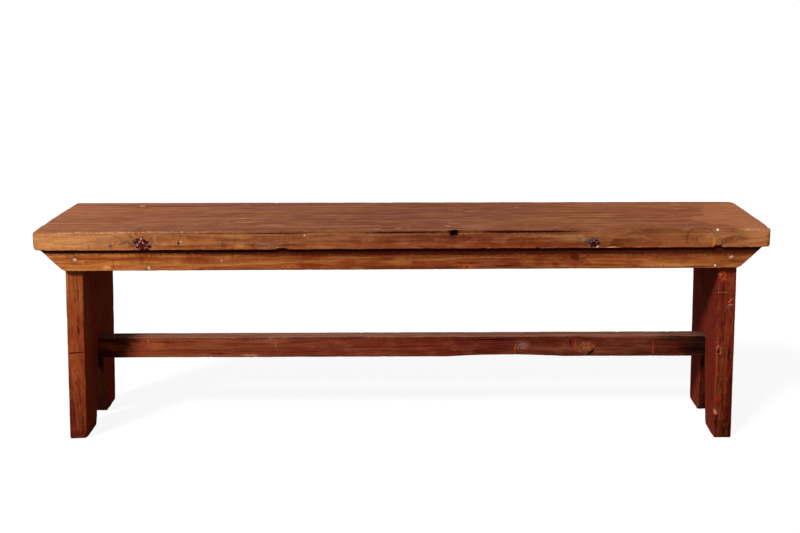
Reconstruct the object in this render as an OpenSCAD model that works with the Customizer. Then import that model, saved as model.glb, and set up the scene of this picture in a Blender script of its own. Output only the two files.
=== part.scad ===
// Plank bench. A wide, slightly tapering seat board stands on two plank legs.
// A deep notch splits the foot of each leg in two, and the top of each notch holds
// one end of a long stretcher. An apron with sloped ends runs along each side.
// X runs along the bench, Y from its front to its back, and Z up from the floor.

/* [Seat board] */
// Length of the seat board along its front edge
seat_length = 1500; // [1100:10:1800]
// Width of the seat board at its left end
seat_width_left = 340; // [310:5:420]
// Width of the seat board at its right end
seat_width_right = 305; // [300:5:420]
// How far the back corner of the left end is set in
seat_skew_left = 2; // [0:1:20]
// How far the back corner of the right end is set in
seat_skew_right = 8; // [0:1:20]
// Thickness of the seat board
seat_thickness = 39; // [32:1:50]
// Height of the seat's top above the floor
seat_height = 455; // [420:5:520]
// Radius worn on the long edges of the seat board
seat_arris = 3; // [1:0.5:6]
// Radius worn on the edges of the seat board's two ends
seat_end_arris = 2.2; // [0.7:0.5:5.7]

/* [Legs] */
// Distance from the seat's end in to the top of a leg's outer face
leg_overhang = 60; // [40:5:150]
// Width of a leg from front to back
leg_width = 255; // [200:5:260]
// Thickness of a leg
leg_thickness = 37; // [30:1:45]
// Lean of the left leg towards the end of the bench, in degrees
leg_lean_left = 2.4; // [0:0.1:3]
// Lean of the right leg towards the end of the bench, in degrees
leg_lean_right = 0.8; // [0:0.1:3]
// Distance from the seat's front edge back to the legs
leg_setback = 22; // [16:1:40]
// Radius worn on the upright edges of a leg
leg_arris = 2.5; // [1:0.5:4]
// Width of the notch in a leg at the floor
notch_width = 84; // [50:2:110]
// Bevel worn on the corners of the feet inside the notch
foot_corner = 9; // [4:1:14]
// Bevel worn around the end faces of the feet
foot_bevel = 3; // [1:0.5:5]

/* [Stretcher] */
// Thickness of the stretcher from front to back
stretcher_thickness = 37; // [28:1:44]
// Height of the stretcher's section
stretcher_height = 46; // [34:1:60]
// Height of the stretcher's top above the floor
stretcher_top = 193; // [150:1:240]
// Radius worn on the long edges of the stretcher
stretcher_arris = 1.5; // [0.5:0.5:4]
// Depth of the hollow along the stretcher's lower edge
wane_depth = 4; // [1:0.5:8]
// Length of the hollow along the stretcher's lower edge
wane_length = 250; // [120:10:400]
// Distance from the bench's middle to the middle of the hollow
wane_place = 225; // [0:5:250]

/* [Aprons] */
// Distance from the seat's end in to the top corner of an apron's end
apron_inset = 12; // [2:1:30]
// How far the lower corner of an apron's end runs past the leg's outer face
apron_lap = 1; // [0:0.5:6]
// Thickness of an apron
apron_thickness = 14; // [12:1:16]
// Height of an apron
apron_height = 45; // [38:1:70]
// Radius worn on the long edges of an apron
apron_arris = 1.5; // [0.5:0.5:3]

/* [Cleats] */
// Thickness of a cleat along the bench
cleat_thickness = 22; // [18:1:28]
// Height of a cleat
cleat_height = 30; // [26:1:36]
// Length of a cleat from front to back
cleat_length = 200; // [180:5:200]
// Radius worn on the long edges of a cleat
cleat_arris = 1.5; // [0.5:0.5:3]

/* [Fixings] */
// Shank diameter of the wood screws
screw_diameter = 4.5; // [3.5:0.5:5]
// Head diameter of the wood screws
screw_head = 9; // [8:0.5:10]
// Length of the screws in the aprons and cleats
screw_length = 45; // [40:1:48]
// Length of the screws in the stretcher
long_screw_length = 80; // [70:1:90]
// Width and depth of the slot in a screw head
screw_slot = 1; // [0.6:0.1:1.4]
// Depth of the plugs that cover the apron screws
plug_depth = 5; // [3:0.5:6]
// Distance from the left leg's outer face to its apron screws
screw_inset_left = 25; // [12:1:26]
// Distance from the right leg's outer face to its apron screws
screw_inset_right = 16; // [12:1:26]
// Distance between neighbouring upright screws in a cleat
cleat_screw_pitch = 76; // [60:2:84]
// Clearance around a screw or a plug
screw_fit = 0.1; // [0.05:0.05:0.2]
// Clearance on each side of the stretcher in its notch
notch_fit = 0.15; // [0.1:0.05:0.4]

/* [Hidden] */

// Sides of the bench as multipliers of X
LEFT = -1;
RIGHT = 1;

// How far a cutter reaches past the wood that it cuts
over = 2;
// Facets of every round form
$fn = 48;

// Planes that the pieces share
seat_front = -max(seat_width_left, seat_width_right) / 2;
seat_under = seat_height - seat_thickness;
leg_front = seat_front + leg_setback;
leg_back = leg_front + leg_width;
leg_middle = leg_front + leg_width / 2;
stretcher_bottom = stretcher_top - stretcher_height;
apron_middle_z = seat_under - apron_height / 2;

// Corners of the seat board in plan, anticlockwise from the front left
seat_corners = [
    [-seat_length / 2, seat_front],
    [seat_length / 2, seat_front],
    [seat_length / 2 - seat_skew_right, seat_front + seat_width_right],
    [-seat_length / 2 + seat_skew_left, seat_front + seat_width_left]
];

// Wood colours, as the photograph shows them
SEAT_BROWN = [0.62, 0.34, 0.17];
APRON_BROWN = [0.66, 0.36, 0.17];
LEG_BROWN = [0.56, 0.29, 0.15];
LEG_RED = [0.42, 0.17, 0.10];
STRETCHER_BROWN = [0.48, 0.24, 0.13];
CLEAT_BROWN = [0.55, 0.36, 0.22];
PLUG_TAN = [0.80, 0.62, 0.42];
STEEL_GREY = [0.60, 0.60, 0.58];

// Lean of the leg on one side, in degrees
function leg_lean(side) = side == LEFT ? leg_lean_left : leg_lean_right;

// Distance from the bench's middle to a leg's outer face, at the height z
function leg_outer(side, z) =
    seat_length / 2 - leg_overhang + (seat_under - z) * tan(leg_lean(side));

// Distance from the bench's middle to a leg's inner face, at the height z
function leg_inner(side, z) = leg_outer(side, z) - leg_thickness / cos(leg_lean(side));

// Distance from the bench's middle to the middle of a leg, at the height z
function leg_centre(side, z) = (leg_outer(side, z) + leg_inner(side, z)) / 2;

// Half the width of the notch at the height z, below the stretcher
function notch_half(z) =
    let (top_half = stretcher_thickness / 2 + notch_fit)
    notch_width / 2 + (top_half - notch_width / 2) * z / stretcher_bottom;

// Rectangle about the origin, with its four corners rounded
module rounded_rectangle(width, height, radius) {
    square([width - 2 * radius, height], center = true);
    square([width, height - 2 * radius], center = true);
    for (x = [-1, 1], y = [-1, 1])
        translate([x * (width / 2 - radius), y * (height / 2 - radius)])
            circle(r = radius);
}

// Bar about the origin along X, with its four long edges rounded
module bar_along_x(length, depth, height, radius) {
    rotate([90, 0, 90])
        linear_extrude(length, center = true)
            rounded_rectangle(depth, height, radius);
}

// Prism along Y, centred on y_middle, whose outline is drawn in X and Z
module prism_along_y(depth, y_middle) {
    translate([0, y_middle, 0])
        rotate([90, 0, 0])
            linear_extrude(depth, center = true)
                children();
}

// Draws its children on the right side of the bench, or mirrored on the left
module on_side(side) {
    mirror([side == LEFT ? 1 : 0, 0, 0])
        children();
}

// Slab to the left of the line from p to q, with the two edges on that line rounded
module edged_slab(p, q, thickness, radius, reach) {
    run = q - p;
    translate([p[0], p[1], 0])
        rotate([0, 0, atan2(run[1], run[0])])
            translate([norm(run) / 2, reach / 2, thickness / 2])
                rotate([90, 0, 90])
                    linear_extrude(norm(run) + 2 * reach, center = true)
                        rounded_rectangle(reach, thickness, radius);
}

// Board with straight sides and the given corners, all its edges eased by three flat
// facets. The first and third side have one radius, and the two ends another, so
// that no more than three faces meet at any point of a corner.
module edged_board(corners, thickness, side_radius, end_radius, reach) {
    intersection_for (i = [0:3]) {
        radius = i % 2 == 0 ? side_radius : end_radius;
        edged_slab(corners[i], corners[(i + 1) % 4], thickness, radius, reach, $fn = 12);
    }
}

// Form of a countersunk screw driven along Z, its head's face at the origin.
// The same form, with a clearance, cuts the bore for that screw.
module screw_form(length, clearance = 0) {
    shank = screw_diameter / 2 + clearance;
    head = screw_head / 2 + clearance;
    tip = screw_diameter;
    rotate_extrude()
        polygon([
            [0, -clearance],
            [head, -clearance],
            [head, 0],
            [shank, head - shank],
            [shank, length - tip],
            [0, length + clearance]
        ]);
}

// Wood screw with a slotted head
module wood_screw(length) {
    difference() {
        screw_form(length);
        cube([screw_head + over, screw_slot, 2 * screw_slot], center = true);
    }
}

// Places its children at the mouths of the apron screw bores of one side
module at_apron_screws(side) {
    inset = side == LEFT ? screw_inset_left : screw_inset_right;
    x = leg_outer(side, apron_middle_z) - inset;
    on_side(side) {
        translate([x, leg_front - apron_thickness, apron_middle_z])
            rotate([-90, 0, 0])
                children();
        translate([x, leg_back + apron_thickness, apron_middle_z])
            rotate([90, 0, 0])
                children();
    }
}

// Places its children at the heads of the screws that go up through a cleat
module at_cleat_to_seat_screws(side) {
    x = leg_inner(side, seat_under) - cleat_thickness / 2;
    on_side(side)
        for (i = [-1, 0, 1])
            translate([x, leg_middle + i * cleat_screw_pitch, seat_under - cleat_height])
                children();
}

// Places its children at the heads of the screws that go sideways through a cleat
module at_cleat_to_leg_screws(side) {
    on_side(side)
        for (i = [-1, 1])
            translate([
                leg_inner(side, seat_under) - cleat_thickness,
                leg_middle + i * cleat_screw_pitch / 2,
                seat_under - cleat_height / 2
            ])
                rotate([0, 90, 0])
                    children();
}

// Places its children at the head of the screw that goes up through the stretcher
module at_stretcher_screw(side) {
    on_side(side)
        translate([leg_centre(side, stretcher_bottom), leg_middle, stretcher_bottom])
            children();
}

// Wide top board, narrower at the right end, with ends not quite square
module seat_board() {
    reach = seat_length + seat_width_left;
    color(SEAT_BROWN)
        difference() {
            translate([0, 0, seat_under])
                edged_board(seat_corners, seat_thickness, seat_arris, seat_end_arris, reach);
            for (side = [LEFT, RIGHT])
                at_cleat_to_seat_screws(side)
                    screw_form(screw_length, screw_fit);
        }
}

// Leaning plank with worn upright edges, longer than the leg at both ends
module leg_plank(side) {
    plank_length = 2 * seat_height;
    translate([leg_outer(side, seat_under), leg_middle, seat_under])
        rotate([0, -leg_lean(side), 0])
            translate([-leg_thickness / 2, 0, 0])
                linear_extrude(plank_length, center = true)
                    rounded_rectangle(leg_thickness, leg_width, leg_arris);
}

// Outline that trims a leg level at the floor and under the seat
module leg_trim(side) {
    rise = foot_bevel + over;
    polygon([
        [leg_inner(side, seat_under) - over, seat_under],
        [leg_outer(side, seat_under) + over, seat_under],
        [leg_outer(side, 0) + over, rise],
        [leg_outer(side, 0) - foot_bevel, 0],
        [leg_inner(side, 0) + foot_bevel, 0],
        [leg_inner(side, 0) - over, rise]
    ]);
}

// Notch in a leg: straight sides around the stretcher, then flaring to the floor
module leg_notch(side) {
    top_half = notch_half(stretcher_bottom);
    foot_half = notch_half(foot_corner);
    mouth_half = notch_width / 2 + foot_corner;
    translate([leg_centre(side, 0), leg_middle, 0])
        rotate([90, 0, 90])
            linear_extrude(4 * leg_thickness, center = true)
                polygon([
                    [-top_half, stretcher_top],
                    [-top_half, stretcher_bottom],
                    [-foot_half, foot_corner],
                    [-mouth_half, 0],
                    [-mouth_half, -over],
                    [mouth_half, -over],
                    [mouth_half, 0],
                    [foot_half, foot_corner],
                    [top_half, stretcher_bottom],
                    [top_half, stretcher_top]
                ]);
}

// One leg with its notch and the bores for its screws
module leg(side) {
    difference() {
        on_side(side)
            difference() {
                intersection() {
                    leg_plank(side);
                    prism_along_y(leg_width + over, leg_middle)
                        leg_trim(side);
                }
                leg_notch(side);
            }
        at_apron_screws(side)
            translate([0, 0, plug_depth])
                screw_form(screw_length, screw_fit);
        at_cleat_to_leg_screws(side)
            screw_form(screw_length, screw_fit);
        at_stretcher_screw(side)
            screw_form(long_screw_length, screw_fit);
    }
}

module left_leg() {
    color(LEG_BROWN)
        leg(LEFT);
}

module right_leg() {
    color(LEG_RED)
        leg(RIGHT);
}

// Long rail in both notches, its ends level with the legs' outer faces
module stretcher() {
    wane_radius = (pow(wane_length / 2, 2) + pow(wane_depth, 2)) / (2 * wane_depth);
    reach = max(leg_outer(LEFT, 0), leg_outer(RIGHT, 0));
    above = stretcher_top + over;
    below = stretcher_bottom - over;
    color(STRETCHER_BROWN)
        difference() {
            intersection() {
                translate([0, leg_middle, stretcher_top - stretcher_height / 2])
                    bar_along_x(2 * reach, stretcher_thickness, stretcher_height, stretcher_arris);
                prism_along_y(stretcher_thickness + over, leg_middle)
                    polygon([
                        [-leg_outer(LEFT, above), above],
                        [-leg_outer(LEFT, below), below],
                        [leg_outer(RIGHT, below), below],
                        [leg_outer(RIGHT, above), above]
                    ]);
            }
            translate([wane_place, leg_middle, stretcher_bottom + wane_depth - wane_radius])
                rotate([90, 0, 0])
                    cylinder(h = stretcher_thickness + over, r = wane_radius, center = true, $fn = 720);
            for (side = [LEFT, RIGHT])
                at_stretcher_screw(side)
                    screw_form(long_screw_length, screw_fit);
        }
}

// Board along one side, under the seat, with sloped ends and sunk screw holes
module apron(y_middle) {
    top_half = seat_length / 2 - apron_inset;
    low = seat_under - apron_height;
    color(APRON_BROWN)
        difference() {
            intersection() {
                translate([0, y_middle, apron_middle_z])
                    bar_along_x(seat_length, apron_thickness, apron_height, apron_arris);
                prism_along_y(apron_thickness + over, y_middle)
                    polygon([
                        [-top_half, seat_under],
                        [-leg_outer(LEFT, low) - apron_lap, low],
                        [leg_outer(RIGHT, low) + apron_lap, low],
                        [top_half, seat_under]
                    ]);
            }
            for (side = [LEFT, RIGHT])
                at_apron_screws(side) {
                    translate([0, 0, -over])
                        cylinder(h = plug_depth + over, d = screw_head + 2 * screw_fit);
                    translate([0, 0, plug_depth])
                        screw_form(screw_length, screw_fit);
                }
        }
}

module front_apron() {
    apron(leg_front - apron_thickness / 2);
}

module rear_apron() {
    apron(leg_back + apron_thickness / 2);
}

// Batten in the corner between a leg and the seat, planed to the leg's lean
module cleat(side) {
    low = seat_under - cleat_height;
    inner = leg_inner(side, seat_under) - cleat_thickness;
    color(CLEAT_BROWN)
        difference() {
            on_side(side)
                prism_along_y(cleat_length, leg_middle)
                    polygon([
                        [leg_inner(side, seat_under), seat_under],
                        [inner, seat_under],
                        [inner, low + cleat_arris],
                        [inner + cleat_arris, low],
                        [leg_inner(side, low), low]
                    ]);
            at_cleat_to_seat_screws(side)
                screw_form(screw_length, screw_fit);
            at_cleat_to_leg_screws(side)
                screw_form(screw_length, screw_fit);
        }
}

module left_cleat() {
    cleat(LEFT);
}

module right_cleat() {
    cleat(RIGHT);
}

// Two screws through each apron into the edges of the legs
module apron_screws() {
    color(STEEL_GREY)
        for (side = [LEFT, RIGHT])
            at_apron_screws(side)
                translate([0, 0, plug_depth])
                    wood_screw(screw_length);
}

// Plugs that fill the holes over the apron screws
module apron_screw_plugs() {
    color(PLUG_TAN)
        for (side = [LEFT, RIGHT])
            at_apron_screws(side)
                cylinder(h = plug_depth, d = screw_head);
}

// Three screws up through each cleat into the seat board
module cleat_to_seat_screws() {
    color(STEEL_GREY)
        for (side = [LEFT, RIGHT])
            at_cleat_to_seat_screws(side)
                wood_screw(screw_length);
}

// Two screws sideways through each cleat into its leg
module cleat_to_leg_screws() {
    color(STEEL_GREY)
        for (side = [LEFT, RIGHT])
            at_cleat_to_leg_screws(side)
                wood_screw(screw_length);
}

// One screw up through each end of the stretcher into the leg above the notch
module stretcher_screws() {
    color(STEEL_GREY)
        for (side = [LEFT, RIGHT])
            at_stretcher_screw(side)
                wood_screw(long_screw_length);
}

seat_board();
left_leg();
right_leg();
stretcher();
front_apron();
rear_apron();
left_cleat();
right_cleat();
apron_screws();
apron_screw_plugs();
cleat_to_seat_screws();
cleat_to_leg_screws();
stretcher_screws();
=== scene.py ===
# Looks of the plank bench: worn planks with their grain, knots, dents and marks.
import math

import bmesh
import bpy
import numpy as np
from mathutils import Matrix, Vector, noise

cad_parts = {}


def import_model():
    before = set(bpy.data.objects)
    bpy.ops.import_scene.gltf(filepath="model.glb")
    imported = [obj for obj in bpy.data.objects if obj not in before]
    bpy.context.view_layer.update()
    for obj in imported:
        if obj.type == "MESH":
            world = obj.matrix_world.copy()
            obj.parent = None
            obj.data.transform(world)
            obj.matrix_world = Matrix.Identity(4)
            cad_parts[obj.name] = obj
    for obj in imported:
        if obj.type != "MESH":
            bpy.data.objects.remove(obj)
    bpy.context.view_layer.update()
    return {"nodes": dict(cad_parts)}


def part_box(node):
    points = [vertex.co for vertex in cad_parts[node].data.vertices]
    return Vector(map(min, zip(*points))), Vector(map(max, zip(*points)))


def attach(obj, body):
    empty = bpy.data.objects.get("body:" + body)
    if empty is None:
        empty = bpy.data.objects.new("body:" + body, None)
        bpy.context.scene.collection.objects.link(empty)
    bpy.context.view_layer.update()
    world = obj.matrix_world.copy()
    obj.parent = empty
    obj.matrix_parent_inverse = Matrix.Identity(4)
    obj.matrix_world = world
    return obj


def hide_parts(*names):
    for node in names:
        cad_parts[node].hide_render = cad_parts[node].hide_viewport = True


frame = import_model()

# Every size and place below is in millimetres, and MM turns it into metres.
MM = 0.001

# Sizes that the boxes of the nodes don't give
SEAT_WIDTH_RIGHT = 305
SEAT_SKEW_LEFT = 2
SEAT_SKEW_RIGHT = 8
LEFT, RIGHT = -1, 1
LEG_LEAN = {LEFT: math.radians(2.4), RIGHT: math.radians(0.8)}
LEG_THICKNESS = 37
LEG_TOP_OUTER = 690
NOTCH_WIDTH = 84
NOTCH_FIT = 0.15
FOOT_ROUND = 12
WANE_DEPTH = 4
WANE_LENGTH = 250
WANE_PLACE = 225
APRON_LAP = 1
APRON_INSET = 12
PLUG_RADIUS = 4.5

# Usual radii of the boards' arrises
SEAT_ARRIS = 2.6
LEG_ARRIS = 2.4
RAIL_ARRIS = 1.8
APRON_ARRIS = 1.5
# Least and most of an arris's radius, and how far the wear's swells change it, as shares
RUB_LEAST, RUB_MOST, RUB_SWING = 0.45, 2.4, 0.75
# Lengths of the long and the short swells in that wear
LONG_SWELL, SHORT_SWELL = 55, 17
# Nicks in the arrises: how far from an arris they reach, their depth as a share of its
# radius, and how high the noise has to rise to make one
NICK_REACH, NICK_DEPTH, NICK_START = 9, 1.1, 0.28
# Slight waves in the broad faces: length and depth of the long and of the short ones
LONG_WAVE, LONG_WAVE_DEPTH = 130, 0.16
SHORT_WAVE, SHORT_WAVE_DEPTH = 28, 0.07

# Distances of the first grid lines from an edge, where the mesh is finest
FINE = (0, 0.35, 0.8, 1.4, 2.2, 3.3, 4.8, 6.8, 9.5)
# Distance between the grid lines of a broad face
STEP = 6
# Name of the mesh attribute that holds each point's distance from the nearest arris
ARRIS = "arris"


def box(node):
    """Lowest and highest corner of a CAD node."""
    low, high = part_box(node)
    return np.array(low) / MM, np.array(high) / MM


SEAT_LOW, SEAT_HIGH = box("seat_board")
LEG_LOW, LEG_HIGH = box("right_leg")
RAIL_LOW, RAIL_HIGH = box("stretcher")
APRON_LOW, APRON_HIGH = box("front_apron")
PLUG_LOW, PLUG_HIGH = box("apron_screw_plugs")
PLUGS = (PLUG_LOW[0] + PLUG_RADIUS, PLUG_HIGH[0] - PLUG_RADIUS)
LEG_MIDDLE = (LEG_LOW[1] + LEG_HIGH[1]) / 2
SEAT_UNDER = SEAT_LOW[2]
SEAT_TOP = SEAT_HIGH[2]
SEAT_FRONT = SEAT_LOW[1]


def leg_outer(side, z):
    """Distance from the bench's middle to the leg's outer face, at the height z."""
    return LEG_TOP_OUTER + (SEAT_UNDER - z) * math.tan(LEG_LEAN[side])


# Mesh code

def lines(low, high, dense=()):
    """Grid lines from low to high, closer near both ends and in the dense stretches."""
    near = [f for f in FINE if f < (high - low) / 2 - 1]
    inner_low, inner_high = low + near[-1], high - near[-1]
    count = max(1, round((inner_high - inner_low) / STEP))
    marks = [low + f for f in near[:-1]]
    marks += list(np.linspace(inner_low, inner_high, count + 1))
    marks += [high - f for f in near[:-1]]
    for centre, half, gap in dense:
        marks = [m for m in marks if abs(m - centre) > half + gap / 2]
        marks += list(np.arange(centre - half, centre + half + gap / 2, gap))
    return np.array(sorted(marks))


def bumps(points, size, seed=0):
    """Smooth noise from -1 to 1 at the points, with swells of about that size."""
    shift = Vector((seed * 17.3, seed * 5.1, seed * 29.7))
    return np.array([noise.noise(Vector(p) / size + shift) for p in points])


def rim_edges(kept):
    """Grid edges that bound the kept cells, first those along u and then those along v."""
    across_u = np.zeros((kept.shape[0], kept.shape[1] + 1), bool)
    across_u[:, :-1] ^= kept
    across_u[:, 1:] ^= kept
    across_v = np.zeros((kept.shape[0] + 1, kept.shape[1]), bool)
    across_v[:-1, :] ^= kept
    across_v[1:, :] ^= kept
    return across_u, across_v


def plank_faces(kept, layers):
    """Numbers the points of a plank's grid and joins them into quads, closed all round."""
    nu, nv = kept.shape[0] + 1, kept.shape[1] + 1
    used = np.zeros((nu, nv), bool)
    for i in (0, 1):
        for j in (0, 1):
            used[i:nu - 1 + i, j:nv - 1 + j] |= kept
    edge_u, edge_v = rim_edges(kept)
    rim = np.zeros((nu, nv), bool)
    rim[:-1, :] |= edge_u
    rim[1:, :] |= edge_u
    rim[:, :-1] |= edge_v
    rim[:, 1:] |= edge_v
    there = np.repeat(rim[None], layers, axis=0)
    there[0] = there[-1] = used
    number = np.full(there.shape, -1)
    number[there] = np.arange(there.sum())
    faces = []
    for layer in (0, layers - 1):
        n = number[layer]
        faces.append(np.stack([n[:-1, :-1], n[1:, :-1], n[1:, 1:], n[:-1, 1:]], -1)[kept])
    for mask, di, dj in ((edge_u, 1, 0), (edge_v, 0, 1)):
        i, j = np.nonzero(mask)
        for k in range(layers - 1):
            upper, lower = number[k + 1], number[k]
            faces.append(np.stack([
                lower[i, j], lower[i + di, j + dj], upper[i + di, j + dj], upper[i, j],
            ], -1))
    return there, np.concatenate(faces)


def eased(point, sides, radius):
    """Rounds every arris by its own radius. Returns the new points, the outward
    normals and each point's distance from the nearest arris."""
    push = np.zeros_like(point)
    for distance, inward in sides:
        push += np.asarray(inward) * np.maximum(0, radius - distance)[:, None]
    length = np.linalg.norm(push, axis=1)[:, None]
    normal = -push / length
    distances = np.sort(np.stack([distance for distance, _ in sides]), axis=0)
    return point + push + normal * radius[:, None], normal, distances[1]


def hollowed(points, hollows):
    """Pushes the points in at each hollow: its centre, its radii and its push."""
    for centre, radii, push in hollows:
        reach = np.linalg.norm((points - np.array(centre)) / np.array(radii), axis=1)
        near = np.nonzero(reach < 1.4)[0]
        ragged = 0.22 * bumps(points[near], 5, 3) + 0.12 * bumps(points[near], 1.9, 4)
        share = np.clip((1.05 - reach[near] - ragged) / 0.4, 0, 1)
        share = share * share * (3 - 2 * share)
        points[near] += share[:, None] * np.array(push, float)
    return points


def plank(name, us, vs, thickness, plan, sides, world, arris, seed, kept=None, hollows=(),
          rub=None):
    """Closed mesh of one worn plank. us and vs are the lines of a grid over its broad
    face, plan turns them into places a and b on that face, and world turns a, b and the
    depth t into bench coordinates. sides gives the distances from the plank's outline,
    and rub how many times rounder than usual the arrises are at a place."""
    ts = lines(0, thickness)
    if kept is None:
        kept = np.ones((len(us) - 1, len(vs) - 1), bool)
    there, faces = plank_faces(kept, len(ts))
    k, i, j = np.nonzero(there)
    a, b = plan(us[i], vs[j])
    t = ts[k]
    point = np.stack([a, b, t], axis=1)
    every = list(sides(a, b))
    every.append((t, (0, 0, 1)))
    every.append((thickness - t, (0, 0, -1)))
    place = np.stack(world(a, b, t), axis=1)
    swell = bumps(place, LONG_SWELL, seed) + 0.6 * bumps(place, SHORT_SWELL, seed + 1)
    radius = arris * np.clip(1 + RUB_SWING * swell, RUB_LEAST, RUB_MOST)
    if rub is not None:
        radius = np.minimum(radius * rub(place), thickness / 4)
    point, normal, from_arris = eased(point, every, radius)
    near = np.clip(1 - from_arris / NICK_REACH, 0, 1)
    nicks = np.clip(bumps(place, NICK_REACH, seed + 2) - NICK_START, 0, 1)
    nicks = nicks * near ** 2 * arris * NICK_DEPTH
    waves = LONG_WAVE_DEPTH * (1 + bumps(place, LONG_WAVE, seed + 3))
    waves += SHORT_WAVE_DEPTH * (1 + bumps(place, SHORT_WAVE, seed + 4))
    point -= normal * (nicks + waves)[:, None]
    place = hollowed(np.stack(world(*point.T), axis=1), hollows)
    mesh = bpy.data.meshes.new(name)
    mesh.from_pydata((place * MM).tolist(), [], faces.tolist())
    mesh.attributes.new(ARRIS, "FLOAT", "POINT").data.foreach_set(
        "value", from_arris.astype(np.float32))
    mesh.polygons.foreach_set("use_smooth", np.ones(len(faces), bool))
    return outward(mesh, name)


def linked(name, data):
    """Makes the data an object of the scene."""
    made = bpy.data.objects.new(name, data)
    bpy.context.scene.collection.objects.link(made)
    return made


def outward(mesh, name):
    """Turns all faces outward and makes the mesh an object."""
    made = bmesh.new()
    made.from_mesh(mesh)
    bmesh.ops.recalc_face_normals(made, faces=made.faces)
    made.to_mesh(mesh)
    made.free()
    return linked(name, mesh)


def line_side(a, b, p, q):
    """Distance of the points from the line p to q, and the direction to its left."""
    run = np.array(q, float) - np.array(p, float)
    run /= np.linalg.norm(run)
    inward = np.array([-run[1], run[0], 0.0])
    return (a - p[0]) * inward[0] + (b - p[1]) * inward[1], inward


def seat_board():
    """The wide top board, narrower at its right end."""
    corners = [
        (SEAT_LOW[0], SEAT_FRONT),
        (SEAT_HIGH[0], SEAT_FRONT),
        (SEAT_HIGH[0] - SEAT_SKEW_RIGHT, SEAT_FRONT + SEAT_WIDTH_RIGHT),
        (SEAT_LOW[0] + SEAT_SKEW_LEFT, SEAT_HIGH[1]),
    ]
    length = SEAT_HIGH[0] - SEAT_LOW[0]
    width = SEAT_HIGH[1] - SEAT_FRONT

    def plan(u, v):
        p = [np.array(c) for c in corners]
        fore = np.outer(1 - u, p[0]) + np.outer(u, p[1])
        rear = np.outer(1 - u, p[3]) + np.outer(u, p[2])
        place = fore * (1 - v)[:, None] + rear * v[:, None]
        return place[:, 0], place[:, 1]

    def sides(a, b):
        return [line_side(a, b, corners[k], corners[(k + 1) % 4]) for k in range(4)]

    def world(a, b, t):
        return a, b, SEAT_TOP - t

    def rub(place):
        """More at the ends, most at the front corners and at the rear right corner."""
        from_end = SEAT_HIGH[0] - np.abs(place[:, 0])
        from_front = place[:, 1] - SEAT_FRONT
        near_end = np.exp(-(from_end / 14) ** 2)
        ends = 1.3 * near_end * np.exp(-(from_front / 30) ** 2)
        from_rear_right = np.hypot(place[:, 0] - corners[2][0], place[:, 1] - corners[2][1])
        upper = np.clip((place[:, 2] - SEAT_UNDER - 5) / 15, 0, 1)
        ends += 2.6 * np.exp(-(from_rear_right / 16) ** 2)
        return (0.45 + 0.55 * np.maximum(upper, near_end)) * (1 + ends)

    dense = [(CHIP[0] - SEAT_LOW[0], 20, 1.2), (LOW_CHIP[0] - SEAT_LOW[0], 12, 1.5),
             (SEAT_CRACKS[2][0][0] - SEAT_LOW[0], 90, 2.5)]
    us = lines(0, length, dense) / length
    vs = lines(0, width) / width
    return plank("seat_board_worn", us, vs, SEAT_TOP - SEAT_UNDER, plan, sides, world,
                 SEAT_ARRIS, seed=1, hollows=SEAT_HOLLOWS, rub=rub)


def notch_half(z):
    """Half the width of a leg's notch at the height z, with the feet's round corners."""
    top_half = (RAIL_HIGH[1] - RAIL_LOW[1]) / 2 + NOTCH_FIT
    share = np.clip(z / RAIL_LOW[2], 0, 1)
    half = NOTCH_WIDTH / 2 + (top_half - NOTCH_WIDTH / 2) * share
    down = np.clip(FOOT_ROUND - z, 0, FOOT_ROUND)
    return half + FOOT_ROUND - np.sqrt(FOOT_ROUND ** 2 - down ** 2)


def leg(name, side, seed):
    """One leaning plank leg, split at its foot by the notch."""
    fore, rear = LEG_LOW[1], LEG_HIGH[1]
    notch_top = RAIL_HIGH[2]
    foot = lines(0, LEG_MIDDLE - NOTCH_WIDTH / 2 - fore)
    foot = foot / foot[-1]
    gap = lines(0, RAIL_HIGH[1] - RAIL_LOW[1])
    gap = gap / gap[-1]
    us = np.concatenate([foot, 1 + gap[1:], 2 + foot[1:]])
    low = lines(0, notch_top)
    vs = np.concatenate([low, lines(notch_top, SEAT_UNDER)[1:]])
    middle_u = (us[:-1] + us[1:]) / 2
    middle_v = (vs[:-1] + vs[1:]) / 2
    open_u = (middle_u > 1) & (middle_u < 2)
    kept = ~(open_u[:, None] & (middle_v < notch_top)[None, :])

    def plan(u, v):
        half = notch_half(v)
        stops = [np.full_like(v, fore), LEG_MIDDLE - half, LEG_MIDDLE + half,
                 np.full_like(v, rear)]
        block = np.clip(np.floor(u), 0, 2).astype(int)
        start = np.choose(block, stops[:3])
        end = np.choose(block, stops[1:])
        return start + (end - start) * (u - block), v

    def sides(a, b):
        aside = np.maximum(0, np.abs(a - LEG_MIDDLE) - notch_half(b))
        above = np.maximum(0, b - notch_top)
        toward = np.stack([np.sign(a - LEG_MIDDLE) * (aside + 1e-6 * (b < notch_top + 1e-6)),
                           above + 1e-6 * (aside < 1e-6) * (b > notch_top - 1e-6),
                           np.zeros_like(a)], axis=1)
        toward /= np.maximum(np.linalg.norm(toward, axis=1), 1e-9)[:, None]
        return [
            (a - fore, (1, 0, 0)),
            (rear - a, (-1, 0, 0)),
            (b + 0.0, (0, 1, 0)),
            (SEAT_UNDER - b, (0, -1, 0)),
            (np.hypot(aside, above), toward),
        ]

    def world(a, b, t):
        return side * (leg_outer(side, b) - t / math.cos(LEG_LEAN[side])), a, b

    def rub(place):
        return 1 + 1.3 * np.exp(-(place[:, 2] / 9) ** 2)

    return plank(name, us, vs, LEG_THICKNESS, plan, sides, world, LEG_ARRIS, seed, kept,
                 rub=rub)


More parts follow.
